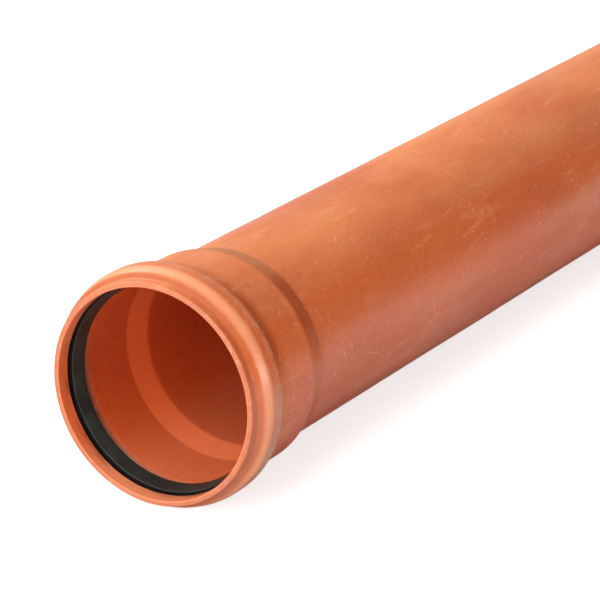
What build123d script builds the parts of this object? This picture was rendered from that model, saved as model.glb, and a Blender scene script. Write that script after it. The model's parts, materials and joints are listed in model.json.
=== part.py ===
from build123d import *

import os
from math import atan2, cos, radians, sin, tan

# Plastic sewer pipe of 110 mm outside diameter, with a push-fit socket formed on one end
# and a rubber sealing ring held in the bead of that socket.
# Millimetres. The pipe lies on a level floor, on the bead of its socket and on its plain end.
# +X runs along it from the socket to the plain end, +Z is up, and the origin is on the floor
# under the middle of the pipe.

# Barrel
pipe_radius = 55.0
wall = 3.4
laying_length = 1000.0  # from the root of the socket to the plain end
chamfer_length = 6.0
chamfer_angle = 15.0  # degrees, the lead-in on the plain end

# Socket, measured from its mouth along the pipe
socket_depth = 61.5  # from the mouth to where the taper to the barrel starts
taper_length = 15.0
entry_clearance = 0.8  # radial room round a plain end at the mouth
root_clearance = 0.3  # radial room round a plain end at the root
lip_rounding = 0.8
root_rounding = 6.0
taper_end_rounding = 8.0

# Bead that holds the sealing ring: lengths follow each other along the pipe
neck_length = 5.2
front_length = 2.6
shoulder_length = 5.4
crest_length = 8.8
back_length = 6.6
bead_height = 4.7  # of the crest above the mouth's outside
shoulder_share = 0.68  # how far up the bead its steep front reaches
neck_rounding = 1.6
shoulder_rounding = 4.4
crest_front_rounding = 8.0
crest_back_rounding = 5.0
bead_foot_rounding = 3.0
mouth_land_length = 8.2  # straight inside wall from the mouth to the ring's groove

# Sealing ring
ring_clearance = 0.2  # between the ring and the groove that holds it
ring_nose_station = 9.9  # the ring's front edge, from the mouth
nose_clearance = 1.0  # of the nose outside a plain end
ridge_length = 1.2  # from the nose to the ridge, where the lip starts
lip_length = 7.2
lip_squeeze = 1.8  # how far the lip reaches inside a plain end's outside
lip_land_length = 1.6
lip_thickness = 1.5
lip_root_thickness = 2.4
heel_share = 0.45  # how far down the bead's back slope the ring's heel reaches
heel_clearance = 1.9  # of the heel's inner edge outside a plain end
lip_edge_chamfer = 0.3
ridge_rounding = 0.5


def deeper(corners, depth):
    """Corners of the line that runs at one depth below a line of corners, nearer to the axis."""
    slopes = [atan2(r2 - r1, s2 - s1) for (s1, r1), (s2, r2) in zip(corners, corners[1:])]
    moved = []
    for (station, radius), before, after in zip(corners, slopes[:1] + slopes, slopes + slopes[-1:]):
        middle = (before + after) / 2
        reach = depth / cos((after - before) / 2)
        moved.append((station + reach * sin(middle), radius - reach * cos(middle)))
    return moved


# Outside of the pipe, as stations along the axis and radii
mouth_radius = pipe_radius + entry_clearance + wall
root_radius = pipe_radius + root_clearance + wall
crest_radius = mouth_radius + bead_height
bead_start = neck_length
shoulder = bead_start + front_length
crest_start = shoulder + shoulder_length
crest_end = crest_start + crest_length
bead_end = crest_end + back_length
overall_length = socket_depth + laying_length
chamfer_start = overall_length - chamfer_length
outside = [
    (0, mouth_radius),
    (bead_start, mouth_radius),
    (shoulder, mouth_radius + bead_height * shoulder_share),
    (crest_start, crest_radius),
    (crest_end, crest_radius),
    (bead_end, mouth_radius),
    (socket_depth, root_radius),
    (socket_depth + taper_length, pipe_radius),
    (chamfer_start, pipe_radius),
]
convex = [shoulder_rounding, crest_front_rounding, crest_back_rounding]
outside_roundings = [neck_rounding, *convex, bead_foot_rounding, root_rounding, taper_end_rounding]

# The wall keeps its thickness round the bead, so an outward bend is tighter inside, but it is
# thicker at the groove's front, where the mouth's straight wall ends in an edge
inside = deeper(outside, wall)
inside[1] = (mouth_land_length, mouth_radius - wall)
inside_roundings = [
    0,
    shoulder_rounding - wall,
    crest_front_rounding - wall,
    crest_back_rounding - wall,
    bead_foot_rounding + wall,
    root_rounding - wall,
    taper_end_rounding + wall,
]

# The pipe leans by half a degree, because its bead is wider than its plain end
lean = atan2(crest_radius - pipe_radius, chamfer_start - crest_end)
along = (cos(lean), 0, -sin(lean))
mouth_height = crest_radius * cos(lean) + crest_end * sin(lean)
mouth_centre = (-overall_length * cos(lean) / 2, 0, mouth_height)
section_plane = Plane(origin=mouth_centre, x_dir=along, z_dir=(0, -1, 0))
pipe_axis = Axis(mouth_centre, along)

# Pipe, barrel and socket in one wall
with BuildPart() as pipe:
    with BuildSketch(section_plane) as pipe_section:
        with BuildLine():
            outer = FilletPolyline(*outside, radius=outside_roundings)
            chamfer_drop = chamfer_length * tan(radians(chamfer_angle))
            plain_end = (overall_length, pipe_radius - chamfer_drop)
            bore_end = (overall_length, pipe_radius - wall)
            Polyline(outer @ 1, plain_end, bore_end, inside[-1])
            inner = FilletPolyline(*inside, radius=inside_roundings)
            Line(inner @ 0, outer @ 0)
        make_face()
        fillet(pipe_section.vertices().group_by(Axis.X)[0], lip_rounding)
    revolve(axis=pipe_axis)
pipe.part.label = "pipe"

# Sealing ring: its back fills the groove, and its lip slopes in and away from the mouth
groove = deeper(outside, wall + ring_clearance)
groove_front, groove_crest_start, groove_crest_end, groove_back = groove[2:6]
heel = tuple(a + heel_share * (b - a) for a, b in zip(groove_crest_end, groove_back))
ridge_station = ring_nose_station + ridge_length
lip_land_start = ridge_station + lip_length
lip_end = lip_land_start + lip_land_length
lip_radius = pipe_radius - lip_squeeze
heel_radius = pipe_radius + heel_clearance
ridge = (ridge_station, pipe_radius)
ring_outline = [
    (ring_nose_station, pipe_radius + nose_clearance),
    groove_front,
    groove_crest_start,
    groove_crest_end,
    heel,
    (heel[0], heel_radius),
    (ridge_station + lip_root_thickness, heel_radius),
    (lip_end, lip_radius + lip_thickness),
    (lip_end, lip_radius + lip_edge_chamfer),
    (lip_end - lip_edge_chamfer, lip_radius),
    (lip_land_start, lip_radius),
    ridge,
]
with BuildPart() as sealing_ring:
    with BuildSketch(section_plane) as ring_section:
        with BuildLine():
            Polyline(*ring_outline, close=True)
        make_face()
        fillet(ring_section.vertices().sort_by_distance(ridge)[0], ridge_rounding)
    revolve(axis=pipe_axis)
sealing_ring.part.label = "sealing_ring"

os.makedirs("parts", exist_ok=True)
for piece in (pipe, sealing_ring):
    export_step(piece.part, f"parts/{piece.part.label}.step")
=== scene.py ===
import json
from math import atan, pi, radians
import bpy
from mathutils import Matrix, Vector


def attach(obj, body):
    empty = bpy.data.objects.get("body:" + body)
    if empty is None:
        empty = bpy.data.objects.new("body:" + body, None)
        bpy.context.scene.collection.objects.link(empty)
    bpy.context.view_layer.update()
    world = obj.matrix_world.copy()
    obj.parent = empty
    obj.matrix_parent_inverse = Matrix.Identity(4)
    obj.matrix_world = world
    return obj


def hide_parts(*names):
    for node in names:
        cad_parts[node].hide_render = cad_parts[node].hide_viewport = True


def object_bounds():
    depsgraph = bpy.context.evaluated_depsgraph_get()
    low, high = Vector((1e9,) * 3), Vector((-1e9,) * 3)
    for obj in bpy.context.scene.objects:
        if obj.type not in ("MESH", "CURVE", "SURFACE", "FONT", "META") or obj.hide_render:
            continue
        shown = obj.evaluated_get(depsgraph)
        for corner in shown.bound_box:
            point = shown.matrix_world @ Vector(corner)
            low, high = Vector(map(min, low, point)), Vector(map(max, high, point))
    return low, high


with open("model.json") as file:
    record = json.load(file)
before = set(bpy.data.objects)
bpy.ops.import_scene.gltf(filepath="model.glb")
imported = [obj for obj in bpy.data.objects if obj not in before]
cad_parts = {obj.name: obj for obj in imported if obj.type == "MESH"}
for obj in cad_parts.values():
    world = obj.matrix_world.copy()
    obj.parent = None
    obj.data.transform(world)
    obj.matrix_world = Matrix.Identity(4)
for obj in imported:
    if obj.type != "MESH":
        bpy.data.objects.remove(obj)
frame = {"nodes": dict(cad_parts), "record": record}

from types import SimpleNamespace

import bmesh
import bpy
from mathutils import Euler, Matrix, Vector

# Looks of a plastic sewer pipe with a push-fit socket and a rubber sealing ring, lying on a pale
# floor. Metres, in the part's own frame: +X runs from the socket's mouth to the plain end, +Z is up.

cad_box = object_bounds()
MM = 0.001


def mm(*sizes):
    """Sizes given in millimetres, in metres."""
    return [size * MM for size in sizes]


# The pipe's axis and sizes, from the part's stated fits

mounts = {mount["name"]: mount for mount in frame["record"]["mounts"]}
along = Vector(mounts["plain_end"]["axis"]).normalized()
pipe_radius = mounts["plain_end"]["dims"]["r_mm"] * MM
bore_radius = mounts["bore"]["dims"]["r_mm"] * MM
lip_rounding = 0.8 * MM
mouth_wall = mounts["socket_mouth"]
half_mouth = mouth_wall["dims"]["length_mm"] * MM / 2
mouth_centre = Vector(mouth_wall["pos_m"]) - along * (half_mouth + lip_rounding)
pipe_length = (cad_box[1].x - mouth_centre.x) / along.x
lean = -atan(along.z / along.x)

# Places along the pipe, from its mouth

taper_start = 61.5 * MM
taper_end = 76.5 * MM
chamfer_length = 6 * MM
chamfer_start = pipe_length - chamfer_length

# Two stations each, between which something on the surface begins or fades

lip_edge = mm(1.1, 0.3)
soiled_land = mm(3.0, 6.5)
shaded_front_foot = mm(4.6, 5.8)
rubs_begin = mm(26, 40)
bore_begins = (taper_end - 2 * MM, taper_end + 2 * MM)
bore_dulls = mm(110, 260)
chamfer_edge = (chamfer_start - 0.4 * MM, chamfer_start + 0.3 * MM)
shaded_ring_nose = mm(11.0, 10.8)
ring_lip_end = mm(19.3, 19.7)

# Stretches where the surface differs: each starts, is full, is still full, and has ended

rubbed_land = mm(0.8, 1.8, 7.6, 8.6)
shaded_neck_and_front = mm(1.0, 1.6, 6.4, 8.6)
rubbed_and_lit_shoulder = mm(6.8, 9.3, 10.8, 15.6)
lit_ring_ridge = mm(10.9, 11.1, 11.2, 11.5)
dull_bead = mm(11, 17, 30, 42)
dusty_crest = mm(12.5, 15.5, 27, 30)
crest_back = mm(16, 18.5, 22, 25)
flecked_back = mm(17, 20, 23, 27)
dark_bead_back = mm(19.5, 22.5, 29.4, 38)
lit_strip_behind_ring = mm(24.6, 25.4, 26.4, 28.4)
dull_taper = (taper_start - 4 * MM, taper_start, taper_end, taper_end + 6 * MM)
dark_taper = (taper_start - 3 * MM, taper_start + 1 * MM, taper_end - 4 * MM, taper_end - 0.5 * MM)
painted_light_cone = (taper_start - 1 * MM, taper_start + 1 * MM, taper_end - 2 * MM, taper_end)


# Turning the pieces again

weld_distance = 0.001 * MM
off_plane = 0.01 * MM
round_above = radians(25)
smooth_below = radians(28)


def only(piece):
    """Selects one piece and nothing else."""
    bpy.ops.object.select_all(action="DESELECT")
    piece.select_set(True)
    bpy.context.view_layer.objects.active = piece


def choose(piece, elements, test):
    """Selects the vertices or the edges that pass a test, and nothing else, in edit mode."""
    bpy.ops.mesh.select_all(action="DESELECT")
    mesh = bmesh.from_edit_mesh(piece.data)
    for element in getattr(mesh, elements):
        element.select_set(test(element))
    bmesh.update_edit_mesh(piece.data)


def keep_section(piece):
    """Leaves only the outline that the plane through the axis cuts from the piece's upper half."""

    def off_section(vertex):
        station = (vertex.co - mouth_centre).dot(along)
        above = vertex.co.z > (mouth_centre + along * station).z
        return abs(vertex.co.y) > off_plane or not above

    bpy.ops.mesh.select_all(action="SELECT")
    bpy.ops.mesh.remove_doubles(threshold=weld_distance)
    choose(piece, "verts", off_section)
    bpy.ops.mesh.delete(type="VERT")


def round_corners(piece, rounding):
    """Rounds the outline's sharp corners where both sides have room for it."""
    room = 1.2 * rounding

    def sharp_and_clear(vertex):
        ways = [edge.other_vert(vertex).co - vertex.co for edge in vertex.link_edges]
        return min(way.length for way in ways) > room and pi - ways[0].angle(ways[1]) > round_above

    choose(piece, "verts", sharp_and_clear)
    bpy.ops.mesh.bevel(offset=rounding, segments=4, affect="VERTICES")


def divide_stretches(piece, longest):
    """Divides the outline's long straight stretches into equal lengths near the longest one."""

    def pieces_in(edge):
        return round(edge.calc_length() / longest)

    counts = {pieces_in(edge) for edge in bmesh.from_edit_mesh(piece.data).edges}
    for count in sorted(counts - {0, 1}):
        choose(piece, "edges", lambda edge: pieces_in(edge) == count)
        bpy.ops.mesh.subdivide(number_cuts=count - 1)


def turned_again(node, name, steps, longest, edge_rounding=0):
    """A piece turned from the CAD node's own section, in finer steps round the axis and along it."""
    piece = bpy.data.objects.new(name, frame["nodes"][node].data.copy())
    bpy.context.scene.collection.objects.link(piece)
    piece.data.materials.clear()
    only(piece)
    bpy.ops.object.mode_set(mode="EDIT")
    keep_section(piece)
    if edge_rounding:
        round_corners(piece, edge_rounding)
    divide_stretches(piece, longest)
    bpy.ops.mesh.select_all(action="SELECT")
    bpy.ops.mesh.spin(steps=steps, angle=2 * pi, center=mouth_centre, axis=along)
    bpy.ops.mesh.select_all(action="SELECT")
    bpy.ops.mesh.remove_doubles(threshold=weld_distance)
    bpy.ops.mesh.normals_make_consistent(inside=False)
    bpy.ops.object.mode_set(mode="OBJECT")
    bpy.ops.object.shade_smooth_by_angle(angle=smooth_below)
    return piece


# Shader building


def add(tree, kind, inputs=None, **settings):
    """A shader node, with its settings, and with each named input set or linked."""
    node = tree.nodes.new("ShaderNode" + kind)
    for setting, value in settings.items():
        setattr(node, setting, value)
    for socket, value in (inputs or {}).items():
        if isinstance(value, bpy.types.NodeSocket):
            tree.links.new(value, node.inputs[socket])
        else:
            node.inputs[socket].default_value = value
    return node


def maths(tree, operation, first, second=0.0, clamp=False):
    """The result of one sum on masks and numbers, kept from 0 to 1 if it is clamped."""
    return add(tree, "Math", {0: first, 1: second}, operation=operation, use_clamp=clamp).outputs[0]


def times(tree, *factors):
    """The product of masks and numbers."""
    product = factors[0]
    for factor in factors[1:]:
        product = maths(tree, "MULTIPLY", product, factor)
    return product


def total(tree, *parts, clamp=False):
    """The sum of masks and numbers, kept to 1 at most if it is clamped."""
    result = parts[0]
    for part in parts[1:]:
        result = maths(tree, "ADD", result, part, clamp)
    return result


def strongest(tree, *masks):
    """The strongest of several masks, kept to 1 at most."""
    result = masks[0]
    for mask in masks[1:]:
        result = maths(tree, "MAXIMUM", result, mask, clamp=True)
    return result


def left_by(tree, mask):
    """What a mask leaves free."""
    return maths(tree, "SUBTRACT", 1.0, mask, clamp=True)


def between(tree, mask, least, most):
    """A value that goes from least to most as a mask goes from 0 to 1."""
    return total(tree, least, times(tree, mask, most - least))


def smooth_step(tree, value, low, high, at_low=0.0, at_high=1.0):
    """Goes smoothly from one value to another between two places, the lower place first."""
    inputs = {"Value": value, "From Min": low, "From Max": high, "To Min": at_low, "To Max": at_high}
    return add(tree, "MapRange", inputs, interpolation_type="SMOOTHSTEP").outputs["Result"]


def rise(tree, value, low, high):
    """Rises smoothly from 0 at low to 1 at high, and falls instead where low is the higher."""
    if low > high:
        return smooth_step(tree, value, high, low, at_low=1.0, at_high=0.0)
    return smooth_step(tree, value, low, high)


def band(tree, x, stretch):
    """A mask of a stretch of the pipe: 0 before its start and after its end, 1 where it is full."""
    start, full, full_end, end = stretch
    return times(tree, rise(tree, x, start, full), rise(tree, x, end, full_end))


def noise(tree, spot, scale, detail=2.0):
    """Plain noise, from 0 to 1."""
    return add(tree, "TexNoise", {"Vector": spot, "Scale": scale, "Detail": detail}).outputs["Fac"]


def blend(tree, share, base, over):
    """One colour laid over another, by a share of 0 to 1."""
    node = add(tree, "Mix", {"Factor": share}, data_type="RGBA")
    for socket, colour in (("A", base), ("B", over)):
        entry = next(s for s in node.inputs if s.name == socket and s.type == "RGBA")
        if isinstance(colour, bpy.types.NodeSocket):
            tree.links.new(colour, entry)
        else:
            entry.default_value = (*colour, 1)
    return next(s for s in node.outputs if s.type == "RGBA")


def painted(tree, colour, layers):
    """A colour with layers laid over it in turn, each with its mask, its strength and its colour."""
    for mask, strength, paint in layers:
        colour = blend(tree, times(tree, mask, strength), colour, paint)
    return colour


def new_group(name, inputs, outputs):
    """An empty shader node group with named inputs and outputs, each with its socket's kind."""
    tree = bpy.data.node_groups.new(name, "ShaderNodeTree")
    for socket, kind, value in inputs:
        entry = tree.interface.new_socket(socket, in_out="INPUT", socket_type="NodeSocket" + kind)
        entry.default_value = value
    for socket, kind in outputs:
        tree.interface.new_socket(socket, in_out="OUTPUT", socket_type="NodeSocket" + kind)
    return tree, tree.nodes.new("NodeGroupInput"), tree.nodes.new("NodeGroupOutput")


def use(tree, group, **inputs):
    """The outputs of a group placed in a tree, with its inputs set or linked."""
    node = tree.nodes.new("ShaderNodeGroup")
    node.node_tree = group
    for socket, value in inputs.items():
        entry = node.inputs[socket.capitalize()]
        if isinstance(value, bpy.types.NodeSocket):
            tree.links.new(value, entry)
        else:
            entry.default_value = value
    return node.outputs


def new_material(name):
    """A material without nodes, and its tree."""
    material = bpy.data.materials.new(name)
    material.use_nodes = True
    tree = material.node_tree
    tree.nodes.clear()
    return material, tree


def finish_material(tree, shader):
    """Puts a shader out as the material's surface."""
    out = tree.nodes.new("ShaderNodeOutputMaterial")
    tree.links.new(shader.outputs[0], out.inputs["Surface"])


# Groups that the plastic and the rubber share


def pipe_places():
    """Group: a point's place on the pipe, along it, round it and away from its axis."""
    tree, _, out = new_group(
        "pipe places",
        [],
        [
            ("Straight", "Vector"),
            ("Unrolled", "Vector"),
            ("Along", "Float"),
            ("Radius", "Float"),
            ("Upward", "Float"),
        ],
    )
    spot = add(tree, "TexCoord").outputs["Object"]
    straightened = Euler((0, -lean, 0)).to_matrix().to_4x4() @ Matrix.Translation(-mouth_centre)
    shift = {"Vector": spot, "Location": straightened.to_translation(), "Rotation": (0, -lean, 0)}
    straight = add(tree, "Mapping", shift).outputs["Vector"]
    x, y, z = add(tree, "SeparateXYZ", {"Vector": straight}).outputs
    radius = maths(tree, "SQRT", total(tree, times(tree, y, y), times(tree, z, z)))
    arc = times(tree, maths(tree, "ARCTAN2", y, z), pipe_radius)
    unrolled = add(tree, "CombineXYZ", {"X": x, "Y": arc, "Z": radius}).outputs["Vector"]
    tree.links.new(straight, out.inputs["Straight"])
    tree.links.new(unrolled, out.inputs["Unrolled"])
    tree.links.new(x, out.inputs["Along"])
    tree.links.new(radius, out.inputs["Radius"])
    tree.links.new(maths(tree, "DIVIDE", z, radius), out.inputs["Upward"])
    return tree


def fibre_marks():
    """Group: bowed marks, one at most in each cell of a scattered net, as fibres and scratches lie."""
    tree, given, out = new_group(
        "fibre marks",
        [
            ("Unrolled", "Vector", (0, 0, 0)),
            ("Spacing", "Float", 6 * MM),
            ("Length", "Float", 3 * MM),
            ("Width", "Float", 0.3 * MM),
            ("Share", "Float", 0.5),
            ("Spread", "Float", 2 * pi),
            ("Bow", "Float", 60.0),
            ("Start", "Float", 0.0),
        ],
        [("Mark", "Float")],
    )
    spot = given.outputs
    x, y, _ = add(tree, "SeparateXYZ", {"Vector": spot["Unrolled"]}).outputs
    flat = add(tree, "CombineXYZ", {"X": total(tree, x, spot["Start"]), "Y": y}).outputs["Vector"]
    scale = maths(tree, "DIVIDE", 1.0, spot["Spacing"])
    net = add(tree, "TexVoronoi", {"Vector": flat, "Scale": scale}, voronoi_dimensions="2D").outputs
    chance, size, direction = add(tree, "SeparateColor", {"Color": net["Color"]}).outputs
    ends = {0: flat, 1: net["Position"]}
    from_middle = add(tree, "VectorMath", ends, operation="SUBTRACT").outputs[0]
    angle = times(tree, maths(tree, "SUBTRACT", direction, 0.5), spot["Spread"])
    turn = {"Vector": from_middle, "Axis": (0, 0, 1), "Angle": angle}
    turned = add(tree, "VectorRotate", turn, rotation_type="AXIS_ANGLE").outputs["Vector"]
    u, v, _ = add(tree, "SeparateXYZ", {"Vector": turned}).outputs
    bow = times(tree, maths(tree, "SUBTRACT", size, 0.5), spot["Bow"])
    bowed = total(tree, v, times(tree, u, u, bow))
    off_line = maths(tree, "DIVIDE", maths(tree, "ABSOLUTE", bowed), spot["Width"])
    half = times(tree, spot["Length"], between(tree, size, 0.2, 0.5))
    off_end = maths(tree, "DIVIDE", maths(tree, "ABSOLUTE", u), half)
    tapered = times(tree, left_by(tree, off_line), rise(tree, off_end, 1.0, 0.5))
    carried = maths(tree, "LESS_THAN", chance, spot["Share"])
    tree.links.new(times(tree, tapered, carried), out.inputs["Mark"])
    return tree


def grit():
    """Group: small grains, each a dot with its own size, where the surface picked up dust."""
    tree, given, out = new_group(
        "grit",
        [
            ("Straight", "Vector", (0, 0, 0)),
            ("Spacing", "Float", 3 * MM),
            ("Share", "Float", 0.1),
            ("Size", "Float", 0.3),
        ],
        [("Grain", "Float")],
    )
    spot = given.outputs
    scale = maths(tree, "DIVIDE", 1.0, spot["Spacing"])
    cells = add(tree, "TexVoronoi", {"Vector": spot["Straight"], "Scale": scale}).outputs
    chance = add(tree, "SeparateColor", {"Color": cells["Color"]}).outputs[0]
    chosen = maths(tree, "LESS_THAN", chance, spot["Share"])
    dot = left_by(tree, maths(tree, "DIVIDE", cells["Distance"], spot["Size"]))
    tree.links.new(times(tree, dot, chosen), out.inputs["Grain"])
    return tree


def clouds():
    """Group: soft patches with their own drawn-out direction, from 0 to 1."""
    tree, given, out = new_group(
        "clouds",
        [
            ("Straight", "Vector", (0, 0, 0)),
            ("Stretch", "Vector", (1, 1, 1)),
            ("Scale", "Float", 20.0),
            ("Low", "Float", 0.4),
            ("High", "Float", 0.6),
        ],
        [("Patch", "Float")],
    )
    spot = given.outputs
    stretched = {0: spot["Straight"], 1: spot["Stretch"]}
    drawn_out = add(tree, "VectorMath", stretched, operation="MULTIPLY").outputs[0]
    texture = {"Vector": drawn_out, "Scale": spot["Scale"], "Detail": 4.0, "Roughness": 0.58}
    mist = add(tree, "TexNoise", texture).outputs["Fac"]
    tree.links.new(smooth_step(tree, mist, spot["Low"], spot["High"]), out.inputs["Patch"])
    return tree


PLACES = pipe_places()
FIBRES = fibre_marks()
GRIT = grit()
CLOUDS = clouds()


def place_on_pipe(tree):
    """A point's place along, round and away from the pipe's axis, with up going from 1 on top of the
    pipe through 0 at its sides to -1 below."""
    found = use(tree, PLACES)
    return SimpleNamespace(
        straight=found["Straight"],
        unrolled=found["Unrolled"],
        x=found["Along"],
        radius=found["Radius"],
        up=found["Upward"],
    )


def patches(tree, at, scale, low, high, stretch=(1, 1, 1)):
    """Soft patches over the surface."""
    found = use(tree, CLOUDS, straight=at.straight, stretch=stretch, scale=scale, low=low, high=high)
    return found["Patch"]


def fibres(tree, at, **habit):
    """Fibres or scratches, with the size, direction and bow of their kind. Each kind starts at another
    place of the net, so that no two kinds lie alike."""
    return use(tree, FIBRES, unrolled=at.unrolled, **habit)["Mark"]


def grains(tree, at, spacing, share, size):
    """Grains scattered over the surface."""
    return use(tree, GRIT, straight=at.straight, spacing=spacing, share=share, size=size)["Grain"]


# Plastic of the pipe


def outside_of_wall(tree, at):
    """A mask of the wall's outside, which steps out from the barrel to the socket over the taper."""
    socket_step = 3.6 * MM
    softness = 0.8 * MM
    middle_of_wall = (pipe_radius + bore_radius) / 2
    step = times(tree, rise(tree, at.x, taper_end, taper_start), socket_step)
    level = maths(tree, "SUBTRACT", at.radius, step)
    return rise(tree, level, middle_of_wall - softness, middle_of_wall + softness)


def smears(tree, at):
    """Smears of handling and long rubs, drawn out along the pipe."""
    smeared = patches(tree, at, scale=40.0, low=0.52, high=0.70, stretch=(0.16, 1, 1))
    wisps = patches(tree, at, scale=110.0, low=0.48, high=0.72, stretch=(0.25, 1, 1))
    rub_size = {"spacing": 50 * MM, "length": 52 * MM, "width": 1.9 * MM}
    rubs = fibres(tree, at, **rub_size, share=0.45, spread=0.5, bow=7.0, start=15.0)
    frayed = patches(tree, at, scale=420.0, low=0.30, high=0.70, stretch=(0.3, 1, 1))
    rubs = times(tree, rubs, frayed, rise(tree, at.x, *rubs_begin), 0.27)
    return strongest(tree, times(tree, smeared, between(tree, wisps, 0.04, 0.46)), rubs)


def fibres_and_scratches(tree, at):
    """Pale fibres in every direction gathered in patches, and a few long scratches."""
    short_size = {"spacing": 3.4 * MM, "length": 2.6 * MM, "width": 0.34 * MM}
    curl_size = {"spacing": 8 * MM, "length": 6.5 * MM, "width": 0.46 * MM}
    drag_size = {"spacing": 52 * MM, "length": 44 * MM, "width": 0.40 * MM}
    short = fibres(tree, at, **short_size, share=0.5, bow=380.0)
    curls = fibres(tree, at, **curl_size, share=0.35, bow=420.0, start=3.0)
    drags = fibres(tree, at, **drag_size, share=0.5, spread=0.7, bow=9.0, start=7.0)
    gathering = patches(tree, at, scale=42.0, low=0.42, high=0.62, stretch=(0.6, 1, 1))
    gathered = times(tree, strongest(tree, times(tree, short, 0.6), curls), gathering)
    return times(tree, strongest(tree, gathered, times(tree, drags, 0.5)), at.outside)


def painted_front_shade(tree, at):
    """Painted shade on the neck behind the lip, faint along its top, and on the front of the bead."""
    below_top = rise(tree, at.up, 0.92, 0.70)
    climbing = times(tree, rise(tree, at.x, *shaded_front_foot), 0.70)
    depth = strongest(tree, between(tree, below_top, 0.06, 0.56), climbing)
    return times(tree, band(tree, at.x, shaded_neck_and_front), depth, at.outside)


def painted_shade_bead_and_taper(tree, at):
    """Painted shade behind the bead and on the taper, thinner along the top and faint on the sides."""
    lighter_top = times(tree, rise(tree, at.up, 0.72, 0.97), 0.65)
    mottled = patches(tree, at, scale=95.0, low=0.36, high=0.56)
    flanks = times(tree, rise(tree, at.up, 0.10, 0.48), left_by(tree, lighter_top))
    flanks = times(tree, flanks, between(tree, mottled, 0.80, 1.0))
    behind_bead = times(tree, band(tree, at.x, dark_bead_back), between(tree, flanks, 0.10, 0.88))
    on_taper = times(tree, band(tree, at.x, dark_taper), between(tree, flanks, 0.10, 0.92))
    return times(tree, strongest(tree, behind_bead, on_taper), at.outside)


def crest_dust(tree, at, gathered):
    """Dust on the bead's crest, thick on the sides and thin elsewhere."""
    sides = times(tree, band(tree, at.x, dusty_crest), rise(tree, at.up, 0.40, -0.05))
    elsewhere = times(tree, band(tree, at.x, crest_back), 0.24)
    thickness = between(tree, gathered, 0.36, 0.90)
    return times(tree, strongest(tree, sides, elsewhere), thickness, at.outside)


def land_wear(tree, at):
    """Where pipe ends slid over the mouth's inside, and where the ring soiled it."""
    land = times(tree, band(tree, at.x, rubbed_land), at.inside)
    below = rise(tree, at.up, -0.55, -0.95)
    above = times(tree, rise(tree, at.up, 0, 0.5), 0.8)
    slid = times(tree, land, between(tree, strongest(tree, below, above), 0.12, 0.54))
    smudge = patches(tree, at, scale=55.0, low=0.42, high=0.60, stretch=(2, 1, 1))
    soiled = times(tree, land, smudge, rise(tree, at.x, *soiled_land))
    return slid, soiled


def plastic_relief(tree, at, marks, patchy, worn_edges):
    """Skin, die lines, dents and orange peel, with the marks and the worn edges."""
    along_pipe = {0: at.straight, 1: (0.04, 1, 1)}
    drawn_out = add(tree, "VectorMath", along_pipe, operation="MULTIPLY").outputs[0]
    skin = times(tree, noise(tree, at.straight, 1100.0), 0.10)
    die_lines = times(tree, noise(tree, drawn_out, 420.0), 0.04)
    dents = times(tree, noise(tree, at.straight, 48.0, detail=3.0), 1.8)
    peel = times(tree, noise(tree, at.straight, 150.0), between(tree, patchy, 0.2, 0.7))
    wear = total(tree, times(tree, marks, 0.20), times(tree, worn_edges, 0.5))
    height = total(tree, skin, die_lines, dents, peel, wear)
    bump = add(tree, "Bump", {"Height": height, "Distance": 0.12 * MM, "Strength": 1.0})
    return bump.outputs["Normal"]


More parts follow.
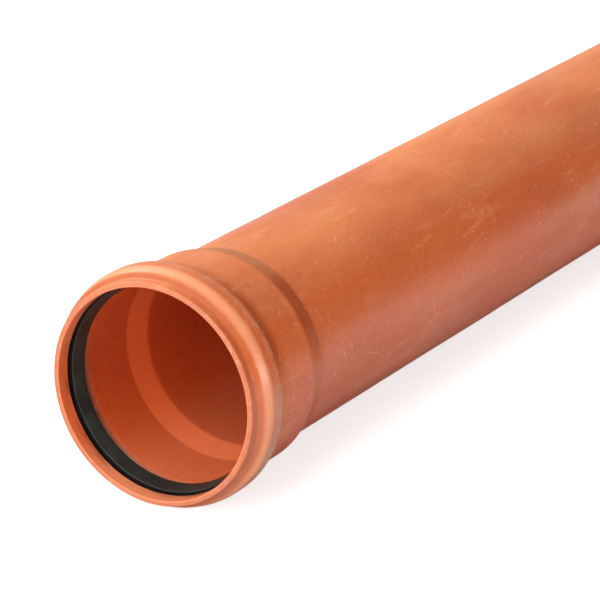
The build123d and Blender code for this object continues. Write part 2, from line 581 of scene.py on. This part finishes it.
def orange_brown_plastic():
    """Extruded pipe plastic, satin and orange-brown, scuffed outside and dusty in its corners."""
    material, tree = new_material("orange_brown_plastic")
    at = place_on_pipe(tree)
    at.outside = outside_of_wall(tree, at)
    at.inside = left_by(tree, at.outside)

    fresh = (0.60, 0.112, 0.021)
    deep = (0.50, 0.080, 0.014)
    inside_painted_light = (0.78, 0.136, 0.033)
    bore_painted_shade = (0.70, 0.124, 0.028)
    cone_painted_light = (0.94, 0.205, 0.060)
    lighter = (0.78, 0.23, 0.07)
    chalk_and_sheen = (0.82, 0.42, 0.18)
    pale_mark = (0.84, 0.51, 0.34)
    pale_wear_and_highlight = (0.86, 0.37, 0.19)
    cut_edge = (0.57, 0.25, 0.15)
    chipped = (0.86, 0.58, 0.44)
    shade = (0.37, 0.053, 0.005)
    front_shade = (0.42, 0.095, 0.033)
    front_shade_on_sides = (0.44, 0.155, 0.092)
    dust = (0.46, 0.25, 0.165)
    olive_dust = (0.42, 0.20, 0.07)
    pale_dust = (0.50, 0.36, 0.25)
    soil = (0.14, 0.035, 0.012)

    # slow changes of tone outside, and painted light and shade inside: the socket's inside is coloured
    # lighter and the bore darker
    tone = patches(tree, at, scale=16.0, low=0.35, high=0.65, stretch=(0.4, 1, 1))
    inside_painted_tone = blend(tree, rise(tree, at.x, *bore_begins), inside_painted_light, bore_painted_shade)
    colour = blend(tree, at.inside, blend(tree, tone, deep, fresh), inside_painted_tone)
    mottle = patches(tree, at, scale=260.0, low=0.40, high=0.70)

    # a chalky bloom on the upper side, partly a painted sheen of the light from above, smears, marks,
    # dark streaks inside, pale and dark grains
    upper = rise(tree, at.up, 0.55, 1.0)
    bloom = times(tree, upper, between(tree, tone, 0.14, 0.30))
    smeared = smears(tree, at)
    # this holds the smears and the bloom, with its painted sheen from above
    worn = times(tree, total(tree, bloom, smeared, clamp=True), at.outside)
    marks = fibres_and_scratches(tree, at)
    streak_size = {"spacing": 10 * MM, "length": 8 * MM, "width": 0.5 * MM}
    streaks = fibres(tree, at, **streak_size, share=0.36, spread=0.9, bow=30.0, start=11.0)
    pale_grains = grains(tree, at, spacing=4.5 * MM, share=0.14, size=0.13)
    dark_grains = grains(tree, at, spacing=5 * MM, share=0.18, size=0.15)

    # the lip and the chamfered end are rubbed paler, and the lip is chipped here and there
    rubbed = patches(tree, at, scale=420.0, low=0.38, high=0.72)
    at_lip = rise(tree, at.x, *lip_edge)
    lip = times(tree, at_lip, between(tree, rubbed, 0.38, 0.58))
    chamfer = times(tree, rise(tree, at.x, *chamfer_edge), between(tree, rubbed, 0.20, 0.50))
    edges = strongest(tree, lip, chamfer)
    ragged = patches(tree, at, scale=70.0, low=0.45, high=0.62)
    nicks = times(tree, grains(tree, at, spacing=3.1 * MM, share=0.20, size=0.30), at_lip, ragged)

    # the bead and the taper: painted shade on the front, a shoulder rubbed pale and painted as a
    # highlight, painted shade behind the bead and on the taper, dust, and a dull olive top
    # painted shade: the neck and the bead's front, lighter on the sides
    front = painted_front_shade(tree, at)
    front_shade_tone = blend(tree, rise(tree, at.up, 0.45, -0.05), front_shade, front_shade_on_sides)
    # the shoulder is painted paler, partly as rubbed wear and partly as a painted highlight where the
    # light catches its bend
    shoulder = times(tree, band(tree, at.x, rubbed_and_lit_shoulder), at.outside)
    # painted shade behind the bead and on the taper, laid on in the shade colour
    skin = painted_shade_bead_and_taper(tree, at)
    gathered = patches(tree, at, scale=150.0, low=0.32, high=0.66)
    dusty = crest_dust(tree, at, gathered)
    olive = times(tree, band(tree, at.x, dark_taper), rise(tree, at.up, 0.80, 0.97), at.outside)
    flecks = grains(tree, at, spacing=1.7 * MM, share=0.45, size=0.62)
    flecks = times(tree, flecks, band(tree, at.x, flecked_back), gathered, at.outside)

    # inside: a painted lighter cone, a painted lit strip behind the ring, paler along the bottom, the
    # mouth's wear
    # painted light: the cone inside, which faces the front light, is coloured lighter
    cone = times(tree, band(tree, at.x, painted_light_cone), at.inside)
    # painted highlight: a pale strip just past the ring's lip, where the groove's back faces the light
    painted_light_behind_ring = times(tree, band(tree, at.x, lit_strip_behind_ring), at.inside)
    bottom = times(tree, rise(tree, at.up, -0.60, -1.0), at.inside)
    slid, soiled = land_wear(tree, at)

    colour = painted(
        tree,
        colour,
        (
            (mottle, 0.16, lighter),
            (worn, 1.0, chalk_and_sheen),
            (marks, 0.50, pale_mark),
            (times(tree, streaks, at.inside), 0.38, soil),
            (pale_grains, 0.55, pale_mark),
            (dark_grains, 0.60, soil),
            (edges, 1.0, cut_edge),
            (nicks, 0.50, chipped),
            (front, 1.0, front_shade_tone),
            (shoulder, 0.62, pale_wear_and_highlight),
            (skin, 1.0, shade),
            (dusty, 1.0, dust),
            (olive, 0.42, olive_dust),
            (flecks, 1.0, pale_dust),
            (cone, 0.65, cone_painted_light),
            (painted_light_behind_ring, 0.20, pale_wear_and_highlight),
            (bottom, 0.26, pale_wear_and_highlight),
            (slid, 1.0, pale_wear_and_highlight),
            (soiled, 0.42, soil),
        ),
    )

    # roughness, and the clear gloss that wear, dust and the painted shade take away
    patchy = patches(tree, at, scale=60.0, low=0.38, high=0.62, stretch=(0.2, 1, 1))
    deep_bore = times(tree, rise(tree, at.x, *bore_dulls), at.inside)
    rough = total(
        tree,
        between(tree, patchy, 0.36, 0.54),
        times(tree, strongest(tree, dusty, skin), 0.45),
        times(tree, worn, 0.25),
        times(tree, deep_bore, 0.30),
        times(tree, lip, 0.30),
        clamp=True,
    )
    round_bead_and_taper = strongest(tree, band(tree, at.x, dull_bead), band(tree, at.x, dull_taper))
    above_sides = rise(tree, at.up, -0.10, 0.25)
    dull_outside = strongest(
        tree,
        times(tree, round_bead_and_taper, above_sides, 0.85),
        times(tree, upper, 0.85),
        times(tree, front, 1.3),
    )
    dull = strongest(
        tree,
        times(tree, dull_outside, at.outside),
        edges,
        marks,
        times(tree, deep_bore, 0.92),
        times(tree, patchy, 0.22),
        times(tree, smeared, 1.4),
    )
    shader = add(
        tree,
        "BsdfPrincipled",
        {
            "Base Color": colour,
            "Roughness": rough,
            "Normal": plastic_relief(tree, at, marks, patchy, times(tree, rubbed, edges)),
            "IOR": 1.5,
            "Specular IOR Level": 0.22,
            "Coat Weight": times(tree, left_by(tree, dull), 0.90),
            "Coat Roughness": 0.24,
            "Coat IOR": 1.5,
        },
    )
    finish_material(tree, shader)
    return material


# Rubber of the sealing ring


def black_rubber():
    """Moulded seal rubber, charcoal and slightly dusty, with a painted tan highlight along the lip's
    end, a painted highlight on the ridge and painted shadow on the nose.
    """
    material, tree = new_material("black_rubber")
    at = place_on_pipe(tree)
    coal = (0.015, 0.022, 0.018)
    grey = (0.029, 0.037, 0.032)
    painted_shadow_black = (0.0, 0.0, 0.0)
    tan_edge_highlight = (0.50, 0.27, 0.16)
    dust = (0.18, 0.18, 0.15)
    cloud = patches(tree, at, scale=60.0, low=0.35, high=0.7)
    specks = grains(tree, at, spacing=2.0 * MM, share=0.22, size=0.22)
    lint_size = {"spacing": 7 * MM, "length": 4 * MM, "width": 0.2 * MM}
    lint = fibres(tree, at, **lint_size, share=0.2, bow=200.0, start=5.0)
    # painted shadow: the ring's nose, which lies in shade, is coloured fully dark and made rougher
    nose = rise(tree, at.x, *shaded_ring_nose)
    colour = painted(
        tree,
        blend(tree, cloud, coal, grey),
        (
            (specks, 0.65, dust),
            (lint, 0.35, dust),
            # a painted highlight along the ridge, in the dust colour
            (band(tree, at.x, lit_ring_ridge), 0.32, dust),
            # a painted highlight along the lip's end, in tan
            (rise(tree, at.x, *ring_lip_end), 0.50, tan_edge_highlight),
            (nose, 1.0, painted_shadow_black),
        ),
    )
    rough = total(
        tree,
        between(tree, cloud, 0.38, 0.52),
        times(tree, specks, 0.30),
        times(tree, nose, 0.40),
        clamp=True,
    )
    skin = noise(tree, at.straight, 1400.0)
    relief = add(tree, "Bump", {"Height": skin, "Distance": 0.03 * MM, "Strength": 1.0})
    shader = add(
        tree,
        "BsdfPrincipled",
        {"Base Color": colour, "Roughness": rough, "Normal": relief.outputs["Normal"], "IOR": 1.38},
    )
    finish_material(tree, shader)
    return material


# White of the floor


def pale_floor():
    """A white floor that keeps the shadow, and is a little darker and warmer where gloss shows it."""
    material, tree = new_material("pale_floor")
    white = (0.80, 0.80, 0.80)
    white_in_gloss = (0.68, 0.66, 0.64)
    lift = 0.72  # light that brings the floor up to the picture's white
    rays = add(tree, "LightPath").outputs
    colour = blend(tree, rays["Is Glossy Ray"], white, white_in_gloss)
    matt = add(tree, "BsdfDiffuse", {"Color": colour})
    seen = strongest(tree, rays["Is Camera Ray"], rays["Is Transmission Ray"])
    glow = add(tree, "Emission", {"Color": (1, 1, 1, 1), "Strength": times(tree, seen, lift)})
    finish_material(tree, add(tree, "AddShader", {0: matt.outputs[0], 1: glow.outputs[0]}))
    return material


# The pieces

pipe_wall = turned_again("pipe", "pipe_wall", steps=192, longest=12 * MM)
waves = bpy.data.textures.new("wall_waves", "CLOUDS")
waves.noise_scale = 45 * MM
uneven = pipe_wall.modifiers.new("uneven_wall", "DISPLACE")
uneven.texture = waves
uneven.texture_coords = "LOCAL"
uneven.mid_level = 1.0  # the surface only sinks into the wall, so it stays inside the solid's box
uneven.strength = 0.35 * MM
only(pipe_wall)
bpy.ops.object.modifier_apply(modifier="uneven_wall")
pipe_wall.data.materials.append(orange_brown_plastic())
seal = turned_again("sealing_ring", "seal", steps=192, longest=3 * MM, edge_rounding=0.35 * MM)
seal.data.materials.append(black_rubber())
for piece, node, slot in ((pipe_wall, "pipe", "pipe_plastic"), (seal, "sealing_ring", "ring_rubber")):
    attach(piece, "root")
    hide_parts(node)

# The floor

floor_size = 60
bpy.ops.mesh.primitive_plane_add(size=floor_size, location=(0, 0, 0))
floor = bpy.context.active_object
floor.name = "floor"
floor.data.materials.append(pale_floor())

# The camera stands where the photo was taken from: a long lens, turned from the pipe's own
# direction, with the middle of the mouth at a known place in the picture

picture_size = 600  # pixels
focal_length = 3242.5  # pixels
picture_middle = 299.5  # pixels
mouth_in_picture = (150.3, 394.9)  # pixels
mouth_distance = 1.6147
heading = radians(30.78)
look_down = radians(20.08)
sensor_width = 36  # millimetres

bpy.ops.object.camera_add(rotation=(pi / 2 - look_down, 0, heading - pi / 2))
camera = bpy.context.active_object
camera.data.sensor_width = sensor_width
camera.data.lens = sensor_width * focal_length / picture_size
to_right = (mouth_in_picture[0] - picture_middle) / focal_length * mouth_distance
to_bottom = (mouth_in_picture[1] - picture_middle) / focal_length * mouth_distance
mouth_from_camera = Vector((to_right, -to_bottom, -mouth_distance))
camera.location = mouth_centre - camera.rotation_euler.to_matrix() @ mouth_from_camera
bpy.context.scene.camera = camera

# The light


def softbox(name, size, place, aim, power, in_gloss=True):
    """A large soft lamp that points at a place, with or without a highlight of its own."""
    direction = (Vector(aim) - Vector(place)).to_track_quat("-Z", "Y").to_euler()
    bpy.ops.object.light_add(type="AREA", location=place, rotation=direction)
    lamp = bpy.context.active_object
    lamp.name = name
    lamp.data.shape = "RECTANGLE"
    lamp.data.size, lamp.data.size_y = size
    lamp.data.energy = power
    lamp.visible_glossy = in_gloss


middle_of_view = (-0.2, 0, 0.03)
softbox("front_softbox", (2.4, 2.4), (-2.07, 0, 2.94), middle_of_view, power=63)
softbox("low_front_softbox", (2.4, 1.6), (-3.67, 0, 1.14), middle_of_view, power=92, in_gloss=False)
softbox("left_softbox", (1.2, 1.0), (-0.1, 1.5, 1.6), middle_of_view, power=42)
softbox("right_softbox", (1.2, 0.5), (-0.3, -1.7, 0.28), middle_of_view, power=10)

# The studio round it is white to the eye and to glass, and dim to all else. Gloss shows it bright
# on the left, weaker above and along the pipe, and dim on the right

fill = 0.1  # the dim studio, where 1 is white
most_in_gloss = 0.55  # how far gloss brightens it at most, on the way from dim to white
dim_from = 0.5  # the part of a direction that goes right, past which gloss shows it dim
steepness = 1.35  # how fast it brightens from there to the left

world = bpy.data.worlds.new("studio")
world.use_nodes = True
bpy.context.scene.world = world
studio = world.node_tree
studio.nodes.clear()
rays = add(studio, "LightPath").outputs
direction = add(studio, "TexCoord").outputs["Generated"]
across = add(studio, "SeparateXYZ", {"Vector": direction}).outputs["Y"]
left_side = maths(studio, "MULTIPLY", total(studio, across, dim_from), steepness, clamp=True)
in_gloss = times(studio, rays["Is Glossy Ray"], left_side, most_in_gloss)
seen = strongest(studio, rays["Is Camera Ray"], rays["Is Transmission Ray"], in_gloss)
sky = add(studio, "Background", {"Color": (1, 1, 1, 1), "Strength": between(studio, seen, fill, 1.0)})
studio_out = studio.nodes.new("ShaderNodeOutputWorld")
studio.links.new(sky.outputs[0], studio_out.inputs["Surface"])

bpy.context.scene.view_settings.view_transform = "Standard"
